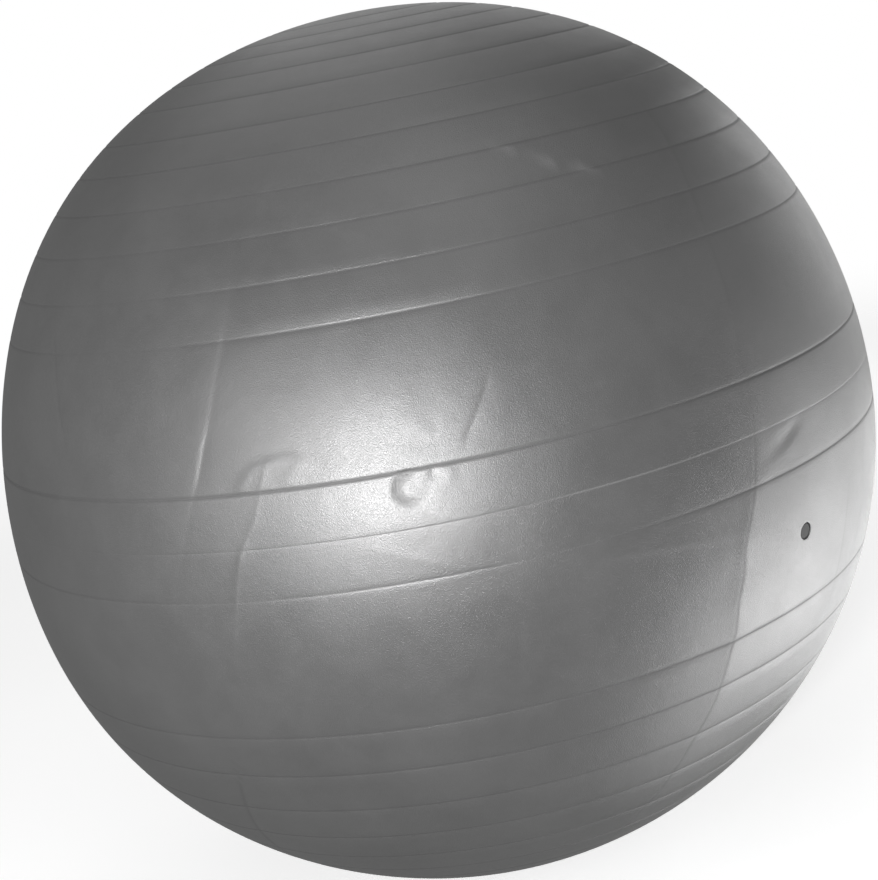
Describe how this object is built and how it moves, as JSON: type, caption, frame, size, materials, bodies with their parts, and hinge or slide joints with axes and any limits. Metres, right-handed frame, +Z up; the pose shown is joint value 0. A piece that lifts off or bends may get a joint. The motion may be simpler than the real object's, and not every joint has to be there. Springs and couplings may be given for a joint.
{
  "type": "exercise ball",
  "caption": "Inflatable 65 cm exercise ball: a hollow vinyl skin ringed by recessed grip grooves, with a welded air valve seat and a push-in plug.",
  "frame": {"origin": "centre of the small flat patch the inflated ball rests on, directly under its centre", "axes": "+Z up through both poles of the mould, so the grip grooves are circles round Z; the air valve faces -Y, 9.33 degrees below the height of the centre"},
  "size_m": [0.6499, 0.6498, 0.6488],
  "materials": {
    "skin_vinyl": "satin",
    "seat_vinyl": "satin",
    "plug_plastic": "satin"
  },
  "bodies": {
    "ball": {"ball_shell": "skin_vinyl", "valve_seat": "seat_vinyl"},
    "plug": {"valve_plug": "plug_plastic"}
  },
  "joints": [
    {"name": "plug_pull", "type": "slide", "parent": "ball", "child": "plug", "axis": [0, -0.9868, -0.1621], "range_m": [0, 0.035]}
  ]
}
